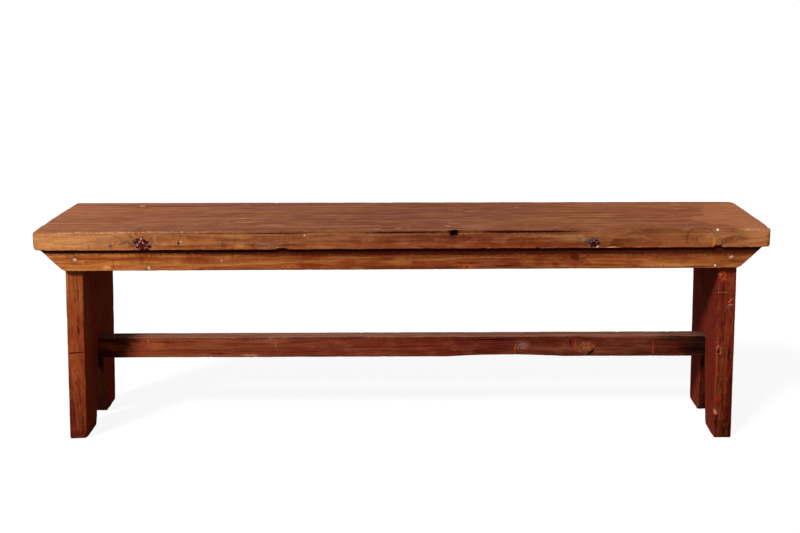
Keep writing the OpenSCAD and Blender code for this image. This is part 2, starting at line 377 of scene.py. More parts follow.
def stretcher():
    """The long rail through both notches, hollowed a little along its lower edge."""
    fore, rear = RAIL_LOW[1], RAIL_HIGH[1]
    height = RAIL_HIGH[2] - RAIL_LOW[2]

    def under(x):
        share = np.clip(np.abs(x - WANE_PLACE) / (WANE_LENGTH / 2), 0, 1)
        return RAIL_LOW[2] + WANE_DEPTH * (1 - share ** 2)

    def along(u, b):
        return u * np.where(u < 0, leg_outer(LEFT, b), leg_outer(RIGHT, b))

    def plan(u, v):
        b = RAIL_LOW[2] + v
        b = RAIL_HIGH[2] - (RAIL_HIGH[2] - under(along(u, b))) * (1 - v / height)
        return along(u, b), b

    def sides(a, b):
        return [
            (leg_outer(RIGHT, b) - a, (-1, 0, 0)),
            (leg_outer(LEFT, b) + a, (1, 0, 0)),
            (b - under(a), (0, 1, 0)),
            (RAIL_HIGH[2] - b, (0, -1, 0)),
        ]

    def world(a, b, t):
        return a, fore + t, b

    us = lines(-LEG_TOP_OUTER, LEG_TOP_OUTER) / LEG_TOP_OUTER
    return plank("stretcher_worn", us, lines(0, height), rear - fore, plan, sides,
                 world, RAIL_ARRIS, seed=41, hollows=RAIL_HOLLOWS)


def apron(name, face_y, toward, seed):
    """One apron, its ends sloped, its outer face at face_y. toward is the direction of y
    from there to its inner face."""
    low, high = APRON_LOW[2], APRON_HIGH[2]
    top_half = SEAT_HIGH[0] - APRON_INSET

    def half(side, z):
        low_half = leg_outer(side, low) + APRON_LAP
        return low_half + (top_half - low_half) * (z - low) / (high - low)

    def end(side, a, b):
        slope = math.atan2(top_half - half(side, low), high - low)
        inward = np.array([-side * math.cos(slope), math.sin(slope), 0.0])
        return (half(side, b) - side * a) * math.cos(slope), inward

    def plan(u, v):
        b = low + v
        return u * np.where(u < 0, half(LEFT, b), half(RIGHT, b)), b

    def sides(a, b):
        return [
            end(LEFT, a, b),
            end(RIGHT, a, b),
            (b - low, (0, 1, 0)),
            (high - b, (0, -1, 0)),
        ]

    def world(a, b, t):
        return a, face_y + toward * t, b

    def rub(place):
        side = np.where(place[:, 0] < 0, half(LEFT, low), half(RIGHT, low))
        from_corner = np.hypot(np.abs(place[:, 0]) - side, place[:, 2] - low)
        return 1 + 1.4 * np.exp(-(from_corner / 10) ** 2)

    us = lines(-top_half, top_half) / top_half
    return plank(name, us, lines(0, high - low), APRON_HIGH[1] - APRON_LOW[1], plan,
                 sides, world, APRON_ARRIS, seed, rub=rub)


# Dents that are deep enough to show as shape: centre, radii and push

# The hole broken out of the seat's front face, under its top arris
CHIP = (112, SEAT_FRONT, 448.5)
# The bite out of the front face's lower arris
LOW_CHIP = (646, SEAT_FRONT, 416)
# The cracks that run along under the seat's top arris: centre, radii and tilt
SEAT_CRACKS = [
    ((-250, SEAT_FRONT, 449.6), (88, 5, 0.9), 0.0),
    ((18, SEAT_FRONT, 449.9), (118, 5, 2.2), 0.006),
    ((264, SEAT_FRONT, 449.8), (158, 5, 2.8), 0.004),
]
SEAT_HOLLOWS = [
    (CHIP, (9.5, 6, 6), (0, 9, 0)),
    (LOW_CHIP, (10, 6, 5), (0, 4, 1)),
    ((-238, SEAT_FRONT, 416.5), (12, 6, 3), (0, 2, 0.6)),
    ((434, SEAT_FRONT, 418), (15, 5, 2), (0, 1.2, 0)),
    ((-449, SEAT_FRONT, 430), (1.8, 3, 1.8), (0, 2, 0)),
    ((742, SEAT_FRONT, 455), (10, 5, 4), (-1.4, 1.4, -1)),
    ((-748, SEAT_FRONT, 455), (9, 6, 5), (1.5, 1.5, -1.2)),
] + [(centre, (radii[0], 3.5, radii[2] + 0.5), (0, 1.5, 0)) for centre, radii, _ in SEAT_CRACKS]
RAIL_HOLLOWS = [
    ((405, RAIL_LOW[1], 153), (6, 6, 7), (0, 2, 0)),
]


# Materials

# Indices of refraction that give the faint gloss of a dry, worn oil finish
SEAT_IOR = 1.13
BASE_IOR = 1.07


def tone(shade):
    """A shade's sRGB values from 0 to 255 as Blender's linear ones. An output stays."""
    if isinstance(shade, bpy.types.NodeSocket):
        return shade
    parts = [value / 255 for value in shade]
    return [c / 12.92 if c <= 0.04045 else ((c + 0.055) / 1.055) ** 2.4 for c in parts]


class Shader:
    """The nodes of a material or a world. Each call adds nodes and returns an output."""

    def __init__(self, owner):
        owner.use_nodes = True
        self.owner = owner
        self.nodes = owner.node_tree.nodes
        self.links = owner.node_tree.links
        self.nodes.clear()

    def put(self, socket, value):
        if isinstance(value, bpy.types.NodeSocket):
            self.links.new(value, socket)
        elif socket.type == "RGBA":
            socket.default_value = (*value, 1.0)
        else:
            socket.default_value = value

    def add(self, kind, inputs, output=0, **settings):
        node = self.nodes.new("ShaderNode" + kind)
        for key, value in settings.items():
            setattr(node, key, value)
        for key, value in inputs.items():
            self.put(node.inputs[key], value)
        return node.outputs[output] if node.outputs else None

    def math(self, operation, *values):
        return self.add("Math", dict(enumerate(values)), operation=operation)

    def times(self, a, b):
        return self.math("MULTIPLY", a, b)

    def plus(self, a, b):
        return self.math("ADD", a, b)

    def minus(self, a, b):
        return self.math("SUBTRACT", a, b)

    def absolute(self, a):
        return self.math("ABSOLUTE", a)

    def vector(self, operation, *values, output=0):
        return self.add("VectorMath", dict(enumerate(values)), output, operation=operation)

    def length(self, vector):
        return self.vector("LENGTH", vector, output="Value")

    def scaled(self, point, scale):
        return self.add("VectorMath", {0: point, "Scale": scale}, operation="SCALE")

    def noise(self, point, detail=2.0, roughness=0.5, distortion=0.0, output=0):
        return self.add("TexNoise", {
            "Vector": point, "Scale": 1.0, "Detail": detail, "Roughness": roughness,
            "Distortion": distortion,
        }, output)

    def remap(self, value, low, high, start=0.0, end=1.0):
        """Runs smoothly from start to end while the value runs from low to high."""
        return self.add("MapRange", {
            "Value": value, "From Min": low, "From Max": high, "To Min": start,
            "To Max": end,
        }, interpolation_type="SMOOTHSTEP")

    def mix(self, share, a, b, blend="MIX"):
        """Mixes two colours, each an output or a shade. Sockets 6 and 7 and output 2 are
        the node's sockets for colours."""
        return self.add("Mix", {0: share, 6: tone(a), 7: tone(b)}, 2, data_type="RGBA",
                        blend_type=blend)

    def dye(self, colour, shade):
        return self.mix(1.0, colour, shade, "MULTIPLY")

    def ramp(self, value, stops):
        """A colour that changes with the value. Each stop is a value and its shade."""
        low, high = stops[0][0], stops[-1][0]
        share = self.math("DIVIDE", self.minus(value, low), high - low)
        node = self.nodes.new("ShaderNodeValToRGB")
        self.put(node.inputs[0], share)
        elements = node.color_ramp.elements
        node.color_ramp.interpolation = "EASE"
        while len(elements) < len(stops):
            elements.new(1.0)
        for element, (place, *shade) in zip(elements, stops):
            element.position = (place - low) / (high - low)
            element.color = (*tone(shade), 1.0)
        return node.outputs[0]

    def place(self):
        """Bench coordinates in millimetres."""
        point = self.add("TexCoord", {}, "Object")
        return self.vector("MULTIPLY", point, (1 / MM, 1 / MM, 1 / MM))

    def parts(self, vector):
        node = self.nodes.new("ShaderNodeSeparateXYZ")
        self.put(node.inputs[0], vector)
        return node.outputs[0], node.outputs[1], node.outputs[2]

    def reorder(self, point, order):
        """The point with its axes in another order."""
        parts = self.parts(point)
        return self.add("CombineXYZ", {k: parts[axis] for k, axis in enumerate(order)})

    def facing(self, axis):
        """How far the surface faces along a bench axis."""
        return self.parts(self.add("TexCoord", {}, "Normal"))[axis]

    def around(self, point, centre, tilt):
        """The point as seen from the centre, turned by tilt in the plane of X and Z."""
        offset = self.vector("SUBTRACT", point, centre)
        if not tilt:
            return offset
        return self.add("Mapping", {"Vector": offset, "Rotation": (0.0, tilt, 0.0)})

    def reach(self, offset, radii, ragged):
        """The distance from the centre, where 1 is the ellipsoid's roughened surface."""
        scaled = self.vector("MULTIPLY", offset, tuple(1 / r for r in radii))
        return self.plus(self.length(scaled), ragged)

    def spot(self, point, centre, radii, ragged, soft, tilt=0.0):
        """1 inside an ellipsoid and 0 outside, with an edge that ragged roughens."""
        reach = self.reach(self.around(point, centre, tilt), radii, ragged)
        return self.remap(reach, 1.0, 1.0 - soft)

    def specks(self, point, size, share):
        """Scattered flecks of about that size, more of them as the share rises."""
        grit = self.noise(self.scaled(point, 1 / size), 2.0, 0.6, 0.7)
        return self.remap(grit, 0.66 - share, 0.72 - share)

    def finish(self, colour, roughness, height, depth, **more):
        """The surface, with a relief of that depth and more settings of its shader."""
        normal = self.add("Bump", {
            "Strength": 1.0, "Distance": depth * MM, "Height": height,
        })
        surface = self.add("BsdfPrincipled", {
            "Base Color": colour, "Roughness": roughness, "Normal": normal, **more,
        })
        self.add("OutputMaterial", {"Surface": surface})
        return self.owner


class Wood(Shader):
    """The nodes of one board's material. bench is the place in bench coordinates, point
    the same with the grain's direction first, and colour the colour of all layers so far."""

    def __init__(self, name, order=None):
        super().__init__(bpy.data.materials.new(name))
        self.bench = self.place()
        self.x, self.y, self.z = self.parts(self.bench)
        self.point = self.reorder(self.bench, order) if order else self.bench

    def grain(self, along, across, shift=0, *settings, output=0):
        """Noise with features of that size along and across the grain."""
        scaled = self.vector("MULTIPLY_ADD", self.point, (1 / along, 1 / across, 1 / across),
                             (shift, shift * 1.7, shift * 0.3))
        return self.noise(scaled, *settings, output=output)

    def roughen(self):
        """Sets ragged, the noise that roughens the edges of marks."""
        self.ragged = self.remap(self.grain(6, 4.5, 23, 3.0, 0.65), 0.2, 0.8, -0.4, 0.4)

    def lay(self, share, shade):
        """Covers that share of the colour."""
        self.colour = self.mix(share, self.colour, shade)

    def tint(self, shade, value, low, high, most):
        """Covers up to the share most, while the value runs from low to high."""
        self.lay(self.remap(value, low, high, 0.0, most), shade)

    def paint(self, marks, face, usual_deep, ragged):
        """Lays the marks. face and usual_deep are for those without a y and a deep."""
        for (x, y, z), (wide, deep, tall), shade, strength, tilt, soft, grit in marks:
            centre = (x, face if y is None else y, z)
            radii = (wide, deep or usual_deep, tall)
            spot = self.spot(self.bench, centre, radii, ragged, soft, tilt)
            share = self.times(spot, strength)
            if grit is not None:
                share = self.times(share, self.specks(self.bench, *grit))
            self.lay(share, shade)


def rings(s, pith, tilt, pitch, knots=(), sway=70):
    """Growth rings around a pith that wanders, drawn aside around each knot.
    Returns the late wood of each ring and a tone of its own for each ring."""
    wander = s.grain(700, 130, 0, 1.0, output="Color")
    wander = s.vector("MULTIPLY", s.vector("SUBTRACT", wander, (0.5, 0.5, 0.5)),
                      (0, sway, sway))
    turned = s.add("Mapping", {
        "Vector": s.vector("SUBTRACT", s.point, pith), "Rotation": (0, *tilt),
    })
    radius = s.length(s.vector("MULTIPLY", s.vector("ADD", turned, wander), (0, 1, 1)))
    for centre, radii, lift in knots:
        scale = tuple(1 / (3.2 * r) for r in radii)
        shift = tuple(-c / (3.2 * r) for c, r in zip(centre, radii))
        reach = s.length(s.vector("MULTIPLY_ADD", s.point, scale, shift))
        radius = s.plus(radius, s.remap(reach, 1.0, 0.0, 0.0, lift))
    phase = s.math("MULTIPLY_ADD", s.grain(90, 11), 1.3, s.math("DIVIDE", radius, pitch))
    part = s.math("FRACT", phase)
    late = s.times(s.remap(part, 0.25, 0.86), s.remap(part, 1.0, 0.9))
    band = s.add("TexWhiteNoise", {"W": s.math("FLOOR", phase)}, noise_dimensions="1D")
    return late, band


def wood(s, growth, deep, main, pale, contrast=1.0, length=1.0):
    """Lays the wood from its rings, its fibres and broad streaks, in a deep, a main and a
    pale tone. Returns the relief from 0 to 1."""
    late, band = growth
    cloud = s.grain(46, 20, 41, 3.0, 0.6, 0.3)
    streak = s.grain(300 * length, 12, 3, 5.0, 0.6, 0.25)
    flake = s.grain(70 * length, 4.2, 7, 4.0, 0.62, 0.2)
    fibre = s.grain(30 * length, 1.1, 11, 3.0, 0.7)
    s.colour = s.mix(s.times(late, s.remap(band, 0.0, 1.0, 0.15, 0.7 * contrast)), main, deep)
    for shade, value, low, high, most in (
            (pale, cloud, 0.48, 0.7, 0.45), (deep, cloud, 0.5, 0.3, 0.4),
            (pale, streak, 0.5, 0.7, 0.75), (deep, streak, 0.49, 0.3, 0.8),
            (pale, flake, 0.54, 0.74, 0.6), (deep, flake, 0.46, 0.28, 0.75)):
        s.tint(shade, value, low, high, most * contrast)
    s.tint(deep, fibre, 0.44, 0.24, 0.8)
    s.tint(pale, fibre, 0.58, 0.78, 0.5)
    crack = s.remap(s.grain(44 * length, 1.0, 13), 0.30, 0.22)
    s.lay(s.times(crack, 0.6), (52, 20, 10))
    relief = s.math("MULTIPLY_ADD", late, 0.35, s.times(fibre, 0.65))
    return s.math("MULTIPLY_ADD", crack, -0.5, relief)


def mark(x, z, wide, tall, shade, strength, tilt=0.0, soft=0.5, grit=None, y=None, deep=None):
    """One mark on the wood: its place, its radii, its shade and how strong it is. tilt
    lifts its right end, and soft is the share of it that its soft edge takes. grit is the
    size and the share of the flecks that it is made of, or None where it is whole. y and
    deep are only given where they differ from what its board's other marks have."""
    return (x, y, z), (wide, deep, tall), shade, strength, tilt, soft, grit


def haze(*values, **more):
    """A mark that fades out nearly from its centre."""
    return mark(*values, soft=0.9, **more)


def top_mark(x, y, wide, deep, shade, strength, soft=0.9, grit=None):
    """A mark on the seat's top."""
    return mark(x, SEAT_TOP, wide, 9, shade, strength, 0.0, soft, grit, y, deep)


def knot(s, centre, radii, tilt, core, warm, light):
    """A knot: a smoky halo, a dark rim, rings inside, and pale flecks on its upper left.
    Returns where the knot is."""
    wide, deep, tall = radii
    smoke = s.noise(s.scaled(s.bench, 0.09), 3.0, 0.6)
    halo = s.spot(s.bench, (centre[0] - 0.6 * wide, centre[1], centre[2] + 0.3 * tall),
                  (2.7 * wide, 2 * deep, 1.5 * tall), s.ragged, 0.8)
    s.lay(s.times(halo, s.remap(smoke, 0.35, 0.6, 0.15, 0.85)), (88, 60, 42))
    offset = s.around(s.bench, centre, tilt)
    across, _, upward = s.parts(offset)
    reach = s.reach(offset, radii, s.times(s.ragged, 0.6))
    inside = s.remap(reach, 1.04, 0.9)
    ring = s.math("SINE", s.math("MULTIPLY_ADD", smoke, 4.0, s.times(reach, 17.0)))
    body = s.mix(s.remap(ring, -0.6, 0.9), core, warm)
    body = s.mix(s.remap(reach, 0.66, 0.9), body, (36, 6, 8))
    side = s.remap(s.minus(upward, across), -0.8 * wide, 0.3 * wide, 0.2, 1.0)
    flecks = s.times(s.specks(s.bench, 2.9, 0.1), side)
    flecks = s.times(flecks, s.remap(reach, 0.15, 0.45))
    body = s.mix(s.times(flecks, light), body, (250, 200, 172))
    s.lay(inside, body)
    return inside


def edge_wear(s, pale, width, strength):
    """Rubs the arrises pale, here more and there less, with a few bright flecks."""
    distance = s.add("Attribute", {}, "Fac", attribute_name=ARRIS, attribute_type="GEOMETRY")
    rough = s.remap(s.grain(24, 5, 19, 4.0, 0.65), 0.25, 0.75, -0.4 * width, 1.5 * width)
    worn = s.remap(s.plus(distance, rough), width, 0.0)
    s.lay(s.times(worn, strength), pale)
    flecks = s.times(s.specks(s.point, 3.0, 0.05), s.remap(distance, 4.0, 1.5))
    flecks = s.times(flecks, s.remap(s.grain(70, 30, 61), 0.45, 0.6))
    s.lay(s.times(flecks, 0.3), (236, 200, 166))


def drip(s, pale):
    """Faint upright bands, where rain and hands have worn the finish."""
    band = s.noise(s.vector("MULTIPLY", s.bench, (1 / 9, 1 / 60, 1 / 26)), 4.0, 0.65, 0.6)
    share = s.remap(s.x, -150, -350, 0.25, 1.0)
    s.lay(s.times(s.remap(band, 0.54, 0.74, 0.0, 0.45), share), pale)
    shade = s.times(s.remap(band, 0.46, 0.28, 0.0, 0.6), share)
    s.lay(shade, s.dye(s.colour, (176, 150, 140)))


def blotched(s, value, swing, along, across, shift, roughness=0.6):
    """The value, swung up and down in blotches of that size."""
    blotch = s.grain(along, across, shift, 3.0, roughness)
    return s.plus(value, s.remap(blotch, 0.3, 0.7, -swing, swing))


def end_grain(s, axis, shade):
    """Darkens the sawn ends, which face along that axis."""
    s.lay(s.times(s.remap(s.absolute(s.facing(axis)), 0.5, 0.8), 0.55), shade)


def oiled(s, relief, depth=0.45, ior=BASE_IOR):
    """The surface with its oil finish, rubbed smoother in long patches."""
    rough = s.remap(s.grain(90, 14, 31, 3.0), 0.3, 0.7, 0.72, 0.9)
    return s.finish(s.colour, rough, relief, depth, IOR=ior)


# The seat's knots: centre and radii
LEFT_KNOT = ((-523, SEAT_FRONT, 428), (19, 10, 12.5))
RIGHT_KNOT = ((396, SEAT_FRONT, 426.5), (12.5, 9, 10.5))
# All that draws the seat's rings aside: centre, radii and how far
SEAT_SWIRLS = [
    (*LEFT_KNOT, 14), (*RIGHT_KNOT, 12), ((613, SEAT_FRONT, 430), (14, 12, 12), 30),
    ((-335, -50, SEAT_TOP), (26, 17, 20), 30), ((-14, -148, SEAT_TOP), (30, 15, 20), 26),
    ((112, -140, SEAT_TOP), (24, 26, 20), 34), ((740, -40, SEAT_TOP), (40, 60, 20), 60),
]
# The pale tongue that reaches in from the top's right end: centre and radii
TONGUE = ((778, -40, SEAT_TOP), (162, 150, 40))
# Tones of the top and of the front from the left end to the right: x and sRGB shade
TOP_TONES = [
    (-760, 162, 100, 66), (-520, 148, 87, 56), (-260, 130, 73, 47), (60, 121, 65, 42),
    (420, 133, 74, 43), (640, 141, 78, 45), (700, 148, 87, 54), (760, 150, 88, 54),
]
FRONT_TONES = [
    (-760, 232, 157, 90), (-600, 222, 149, 90), (-440, 184, 112, 62), (-240, 150, 83, 45),
    (-20, 132, 62, 30), (200, 125, 51, 25), (420, 142, 74, 38), (640, 152, 88, 50),
    (760, 188, 120, 72),
]
SEAT_FLECK = (228, 184, 146)
SEAT_MARKS = [
    mark(-589, 425, 6, 4, (92, 66, 60), 0.7),
    haze(-600, 434, 60, 14, (150, 92, 58), 0.35),
    mark(-449, 430, 2.8, 3.2, (34, 12, 8), 0.95, deep=4),
    mark(-444, 433, 3, 1.6, SEAT_FLECK, 0.8, 0.6, deep=4),
    haze(-325, 425, 22, 9, (216, 152, 84), 0.45),
    mark(-325, 424, 17, 7, SEAT_FLECK, 0.8, soft=0.8, grit=(1.5, 0.06)),
    haze(-272, 424, 34, 12, (128, 92, 74), 0.3),
    mark(-272, 424, 30, 11, SEAT_FLECK, 0.9, soft=0.8, grit=(1.5, 0.08)),
    mark(-247, 419, 10, 3, (210, 140, 76), 0.5),
    mark(-191, 445.5, 2.6, 2.0, SEAT_FLECK, 0.85),
    mark(-184, 441, 14, 5, SEAT_FLECK, 0.5, grit=(1.6, 0.06)),
    mark(138, 447, 26, 2.6, (214, 158, 76), 0.8, grit=(2.0, 0.1)),
    mark(205, 441, 8, 1.1, (60, 24, 14), 0.7, 0.8, 0.3),
    mark(212, 441, 8, 1.1, (60, 24, 14), 0.6, 0.8, 0.3),
    mark(318, 441, 86, 4.2, (196, 134, 78), 0.42, soft=0.8),
    mark(360, 437, 60, 11, (176, 126, 84), 0.3, soft=0.95),
    mark(374, 434, 9, 5, SEAT_FLECK, 0.18, soft=0.8),
    mark(371, 436, 26, 9, (240, 210, 178), 0.85, -0.1, 0.9, (1.5, 0.06)),
    mark(402, 418.5, 5, 1.8, SEAT_FLECK, 0.8, 0.5),
    mark(434, 417.5, 16, 1.8, (226, 166, 120), 0.8, 0.05),
    mark(628, 434, 34, 16, (196, 134, 76), 0.35, soft=0.95),
    haze(636, 430, 6, 15, (216, 128, 52), 0.6, 0.15),
    mark(655, 436, 3, 8, SEAT_FLECK, 0.6, grit=(1.6, 0.1)),
    mark(712, 452.5, 42, 2.2, (240, 206, 172), 0.8, grit=(1.9, 0.12)),
    mark(680, 434, 6, 3, (214, 176, 140), 0.6, grit=(1.8, 0.1)),
    mark(-560, 453, 190, 2.2, (244, 198, 150), 0.6, grit=(2.2, 0.13)),
    top_mark(159, -135, 52, 24, (190, 130, 104), 0.28, 0.6),
    top_mark(-586, 124, 9, 14, (222, 168, 136), 0.6, 0.5, (7, 0.2)),
    top_mark(-535, -150, 10, 44, (92, 52, 38), 0.5),
    mark(-345, 449.8, 72, 1.4, (96, 44, 22), 0.6, soft=0.8, deep=5),
    top_mark(616, -128, 60, 18, (84, 40, 26), 0.4),
    top_mark(-14, -150, 40, 14, (84, 44, 30), 0.2),
]
# Short curved strokes of the top's grain: x, y, half the length, and half the width
DARK_STROKES = [
    (-422, -7, 28), (-402, 126, 56), (-324, 110, 26), (-583, 106, 28), (-596, -73, 30),
    (-505, -73, 46), (-384, -87, 18), (321, -28, 62), (-365, 17, 18), (-298, -96, 24),
    (-355, -52, 12), (-28, -113, 14), (11, -144, 14),
]
PALE_STROKES = [
    (318, -45, 56, 5), (609, 104, 15, 8), (604, 53, 13, 6), (-337, -30, 13, 7),
    (-325, -74, 30, 7), (-264, -108, 40, 8), (100, -128, 10, 11), (116, -100, 18, 7),
    (-44, -152, 14, 6), (-2, -150, 11, 6), (120, 54, 26, 6), (150, 34, 26, 6),
    (256, 80, 14, 8),
]
SEAT_MARKS += [top_mark(x, y, half, 6, (88, 42, 28), 0.6) for x, y, half in DARK_STROKES]
SEAT_MARKS += [top_mark(x, y, half, wide, (214, 152, 120), 0.4)
               for x, y, half, wide in PALE_STROKES]
CRACK_MARKS = [
    mark(centre[0], centre[2], radii[0], radii[2] + 0.3, (30, 8, 4), 0.95, tilt, 0.45, deep=5)
    for centre, radii, tilt in SEAT_CRACKS
]
DENT_MARKS = [
    mark(CHIP[0], CHIP[2], 10.5, 6.6, (18, 2, 2), 1.0, soft=0.25, deep=34),
    mark(LOW_CHIP[0], LOW_CHIP[2], 11, 3.8, (44, 12, 8), 0.85, deep=12),
    mark(-238, 416.4, 12, 3.0, (48, 16, 10), 0.8, deep=12),
    mark(643, 452, 2.8, 2.2, (255, 240, 224), 0.95),
]


def seat_tones(s, upward):
    """The seat's main tone on its top, its edges and its underside, with painted shade on the faces
    that turn downward.
    """
    shifted = blotched(s, s.x, 70, 140, 60, 29, 0.55)
    s.colour = s.ramp(shifted, TOP_TONES)
    hue = s.grain(260, 44, 71)
    s.tint((126, 64, 54), hue, 0.52, 0.66, 0.4)
    s.tint((152, 94, 46), hue, 0.46, 0.32, 0.4)
    upper = s.colour
    s.colour = s.ramp(shifted, FRONT_TONES)
    s.tint((176, 74, 24), s.z, 431, 418, 0.3)
    s.tint((182, 122, 76), s.z, 433, 446, 0.25)
    s.lay(upward, upper)
    # Painted shade: faces that turn downward get a dark brown.
    s.lay(s.remap(s.facing(2), -0.35, -0.75), (112, 58, 34))
    return s.colour


def seat_rim(s, main):
    """Rubs the seat's arrises, paints shade on its upper arrises, and darkens its sawn ends
    and the foot of its right corner.
    """
    edge_wear(s, s.mix(0.5, main, (240, 184, 130)), 2.2, 0.6)
    # Painted shade: the upper arrises are darkened, strongest between the middle and the right,
    # none near the left end, where the key lamp lights them brighter than the faces.
    arris = s.times(s.remap(s.facing(2), 0.1, 0.4), s.remap(s.facing(2), 0.98, 0.85))
    middle = s.remap(s.absolute(s.minus(s.x, 190)), 620, 420, 0.0, 0.9)
    s.lay(s.times(arris, middle), s.dye(s.colour, (204, 192, 184)))
    end_grain(s, 0, (84, 40, 24))
    corner = s.remap(s.plus(s.x, s.times(s.ragged, 8)), 738, 748, 0.0, 0.6)
    s.lay(s.times(corner, s.remap(s.z, 450, 440)), (84, 30, 14))


def seat_seam(s):
    """A thin dark seam that comes and goes along the front, under the top arris."""
    thick = s.remap(s.grain(60, 300, 73, 3.0), 0.35, 0.65, 0.1, 1.4)
    seam = s.remap(s.math("DIVIDE", s.absolute(s.minus(s.z, 451)), thick), 1.0, 0.4)
    seam = s.times(seam, s.remap(s.absolute(s.x), 640, 300, 0.1, 0.85))
    seam = s.times(seam, s.remap(s.y, SEAT_FRONT + 3, SEAT_FRONT + 2))
    s.lay(seam, (74, 24, 14))


def seat_wood():
    """The seat's wood: reddish brown on top, yellow to brown along its front."""
    s = Wood("seat_wood_worn")
    s.roughen()
    upward = s.remap(s.facing(2), 0.15, 0.5)
    main = seat_tones(s, upward)
    deep = s.dye(main, (158, 124, 112))
    pale = s.mix(0.36, main, (230, 166, 118))
    growth = rings(s, (0, -30, 395), (0.016, 0.03), 7.5, SEAT_SWIRLS)
    relief = wood(s, growth, deep, main, pale, 0.9, 1.8)
    s.lay(s.times(upward, 0.25), main)
    plain = s.colour
    drip(s, pale)
    s.colour = s.mix(s.remap(s.facing(1), -0.4, -0.8), plain, s.colour)
    sway = s.remap(s.noise(s.scaled(s.bench, 1 / 60)), 0.3, 0.7, -0.14, 0.14)
    tongue = s.spot(s.bench, *TONGUE, sway, 0.07)
    s.lay(s.times(tongue, 0.36), (182, 112, 72))
    left = knot(s, *LEFT_KNOT, -0.5, (60, 8, 9), (112, 24, 22), 1.0)
    right = knot(s, *RIGHT_KNOT, -0.35, (22, 5, 8), (62, 14, 18), 0.4)
    s.paint(SEAT_MARKS, SEAT_FRONT, 6, s.ragged)
    seat_rim(s, main)
    seat_seam(s)
    s.paint(CRACK_MARKS, SEAT_FRONT, 6, s.times(s.ragged, 0.4))
    s.paint(DENT_MARKS, SEAT_FRONT, 6, s.ragged)
    relief = s.plus(relief, s.times(s.math("MAXIMUM", left, right), -0.3))
    return oiled(s, relief, 0.5, SEAT_IOR)


APRON_FLECK = (240, 206, 174)
APRON_MARKS = [
    mark(-672, 402, 24, 9, (120, 62, 36), 0.5, soft=0.8, deep=8),
    mark(-601, 379, 13, 4, (238, 170, 104), 0.6),
    mark(-588, 380, 8, 4, (150, 66, 30), 0.6),
    mark(-514, 377.5, 2.4, 6, APRON_FLECK, 0.75, 0.3),
    mark(-520, 374, 3, 3, (40, 14, 8), 0.8),
    haze(-417, 394, 40, 17, (136, 42, 16), 0.5, deep=8),
    mark(-364, 392, 2.6, 2.2, APRON_FLECK, 0.8),
    mark(-406, 373, 10, 2.4, (50, 14, 8), 0.8),
    haze(-222, 379, 26, 7, (214, 130, 76), 0.4),
    haze(-111, 386, 22, 8, (150, 40, 18), 0.5),
    mark(138, 376, 13, 6, (190, 96, 44), 0.6),
    mark(138, 376, 7, 3, (96, 30, 14), 0.8),
    haze(180, 386, 30, 9, (130, 82, 66), 0.4),
    mark(359, 395, 12, 8, (76, 16, 8), 0.75),
    mark(525, 394, 2.4, 2, (40, 12, 8), 0.9),
    mark(560, 378, 60, 5, (226, 156, 86), 0.45, soft=0.8),
    mark(643, 377, 2.8, 3, (250, 226, 196), 0.9),
    haze(684, 388, 44, 16, (124, 62, 34), 0.35, deep=8),
    mark(PLUGS[0], 395.5, 5.4, 3.6, APRON_FLECK, 0.85, -0.4, 0.6),
    mark(PLUGS[0] - 7, 400, 3, 2, (190, 140, 110), 0.6),
    mark(PLUGS[1], 394.5, 6, 3, APRON_FLECK, 0.85, 0.2, 0.6),
]


def apron_wood(name):
    """The aprons' wood: orange brown with long streaks, filler over the screws, and a
    painted shadow along the top under the seat's edge."""
    s = Wood(name)
    s.roughen()
    face = APRON_LOW[1]
    main = s.ramp(blotched(s, s.x, 80, 120, 24, 29), [
        (-740, 216, 134, 70), (-540, 206, 124, 62), (-300, 160, 82, 40), (0, 138, 64, 32),
        (300, 132, 56, 28), (480, 164, 88, 46), (740, 166, 92, 47)])
    deep = s.dye(main, (168, 118, 98))
    pale = s.mix(0.36, main, (240, 168, 88))
    growth = rings(s, (0, -60, 330), (0.01, 0.02), 5.5, [
        ((138, face, 377), (9, 8, 7), 10), ((359, face, 392), (10, 8, 6), 8)])
    relief = wood(s, growth, deep, main, pale, 1.0, 1.4)
    s.tint((120, 36, 16), s.grain(70, 16, 37, 3.0, 0.6), 0.5, 0.7, 0.4)
    drip(s, pale)
    s.paint(APRON_MARKS, face, 6, s.ragged)
    edge_wear(s, s.mix(0.4, main, (236, 180, 118)), 1.6, 0.5)
    end_grain(s, 0, (84, 42, 24))
    # Painted shadow: near-black red along the apron's top under the seat's front edge, reaching
    # further down towards the right.
    share = s.math("DIVIDE", s.minus(APRON_HIGH[2], s.z), s.remap(s.x, -700, 100, 14.0, 25.0))
    s.tint((62, 13, 7), s.math("MULTIPLY_ADD", s.ragged, 0.25, share), 0.95, 0.42, 0.93)
    return oiled(s, relief)


